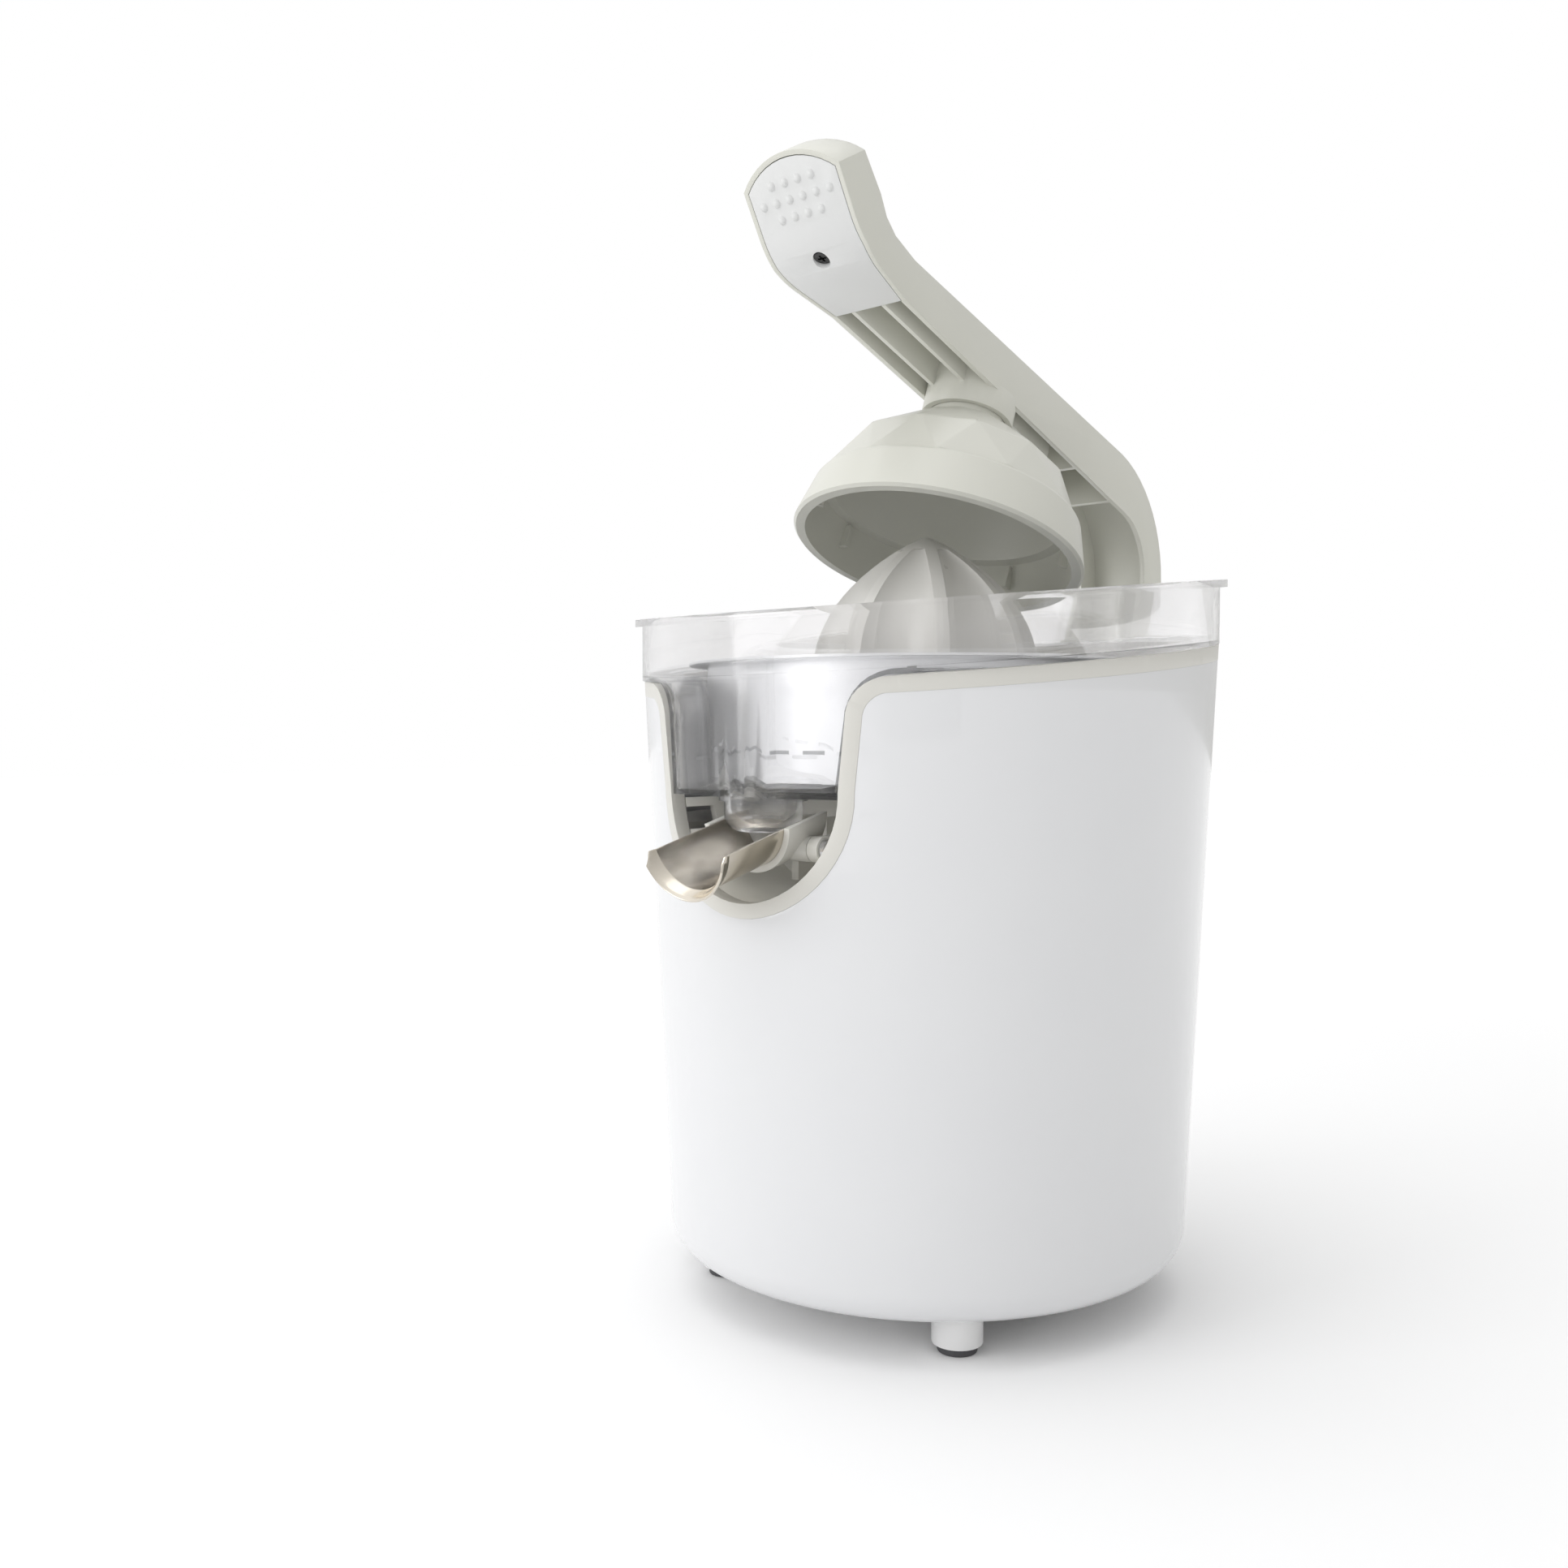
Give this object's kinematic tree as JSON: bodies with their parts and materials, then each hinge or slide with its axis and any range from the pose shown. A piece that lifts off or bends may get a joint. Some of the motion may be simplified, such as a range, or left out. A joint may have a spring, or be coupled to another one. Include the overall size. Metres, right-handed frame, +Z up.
{
  "type": "citrus press",
  "caption": "Electric lever-arm citrus press with a tapered body, clear juice bowl, ribbed reamer, pressing dome and tilting steel spout.",
  "frame": {"origin": "centre of the bounding box, on the table plane under the rubber feet", "axes": "+Z up along the reamer, -Y to the spout at the front, +Y to the lever hinge at the back, +X to the right of someone facing the same way as +Y"},
  "size_m": [0.2028, 0.2625, 0.3761],
  "materials": {
    "white_gloss": "high gloss white",
    "white_satin": "fine satin white",
    "warm_grey": "satin warm light grey",
    "arm_grey": "semi-gloss light grey",
    "grip_white": "fine satin pale grey",
    "reamer_grey": "semi-gloss warm grey",
    "strainer_steel": "brushed round the drum",
    "spout_steel": "polished inside",
    "steel": "bright",
    "core_steel": "laminated",
    "bracket_alloy": "cast",
    "brass": "turned",
    "copper": "enamelled wire",
    "rubber": "matt",
    "clear_plastic": "clear and glossy",
    "gearbox_grey": "glass filled",
    "gear_cream": "moulded acetal",
    "black_plastic": "moulded",
    "red_plastic": "moulded"
  },
  "bodies": {
    "root": {"outer_shell": "white_gloss", "base_plate": "white_satin", "trim_frame": "warm_grey", "spout_bay": "warm_grey", "foot_pads": "rubber", "base_screws": "steel", "motor_deck": "warm_grey", "deck_screws": "steel", "hinge_tower": "arm_grey", "tower_screws": "steel", "hinge_pin": "steel", "hinge_washers": "rubber", "hinge_caps": "arm_grey", "strainer": "strainer_steel", "juice_bowl": "clear_plastic", "spout_screws": "steel", "return_spring": "steel", "shaft_seal": "rubber", "upper_bush": "brass", "lower_bush": "brass", "gearbox_housing": "gearbox_grey", "gearbox_cover": "gearbox_grey", "gearbox_screws": "steel", "gear_pin": "steel", "motor_stator": "core_steel", "motor_coils": "copper", "motor_brackets": "bracket_alloy", "motor_bearings": "brass", "motor_screws": "steel", "switch_body": "black_plastic", "cord_gland": "rubber", "terminal_block": "gear_cream", "motor_leads": "rubber"},
    "lever": {"lever_arm": "arm_grey", "grip_plate": "grip_white", "grip_screw": "steel", "press_dome": "arm_grey", "dome_screw": "steel"},
    "spout": {"spout_trough": "spout_steel", "spout_holder": "warm_grey"},
    "carriage": {"thrust_washer": "steel"},
    "spindle": {"reamer": "reamer_grey", "drive_shaft": "steel", "shaft_circlip": "steel"},
    "switch_plunger": {"switch_button": "red_plastic"},
    "output_wheel": {"output_gear": "gear_cream"},
    "compound_wheel": {"compound_gear": "gear_cream"},
    "rotor": {"motor_pinion": "brass", "motor_shaft": "steel", "rotor_core": "core_steel"}
  },
  "joints": [
    {"name": "lever_hinge", "type": "hinge", "parent": "root", "child": "lever", "pos_m": [0, 0.11164, 0.215], "axis": [-1, 0, 0], "range_deg": [-18, 55]},
    {"name": "spout_tilt", "type": "hinge", "parent": "root", "child": "spout", "pos_m": [0, -0.09176, 0.1552], "axis": [-1, 0, 0], "range_deg": [0, 20]},
    {"name": "press_travel", "type": "slide", "parent": "root", "child": "carriage", "axis": [0, 0, -1], "range_m": [0, 0.003], "stiffness_N_per_m": 3000, "springref_m": -0.001, "deforming": ["return_spring"]},
    {"name": "reamer_spin", "type": "hinge", "parent": "carriage", "child": "spindle", "pos_m": [0, -0.01176, 0.15], "axis": [0, 0, 1], "continuous": true},
    {"name": "switch_press", "type": "slide", "parent": "root", "child": "switch_plunger", "axis": [0, 0, -1], "range_m": [0, 0.003]},
    {"name": "output_spin", "type": "hinge", "parent": "root", "child": "output_wheel", "pos_m": [0, -0.01176, 0.119], "axis": [0, 0, 1], "continuous": true},
    {"name": "compound_spin", "type": "hinge", "parent": "root", "child": "compound_wheel", "pos_m": [0, 0.03574, 0.119], "axis": [0, 0, 1], "continuous": true},
    {"name": "motor_spin", "type": "hinge", "parent": "root", "child": "rotor", "pos_m": [0, 0.00534, 0.119], "axis": [0, 0, 1], "continuous": true}
  ],
  "couplings": [
    {"joint": "compound_spin", "follows": "motor_spin", "ratio": -0.26667},
    {"joint": "output_spin", "follows": "motor_spin", "ratio": 0.071111},
    {"joint": "reamer_spin", "follows": "motor_spin", "ratio": 0.071111},
    {"joint": "switch_press", "follows": "press_travel", "ratio": 1}
  ]
}
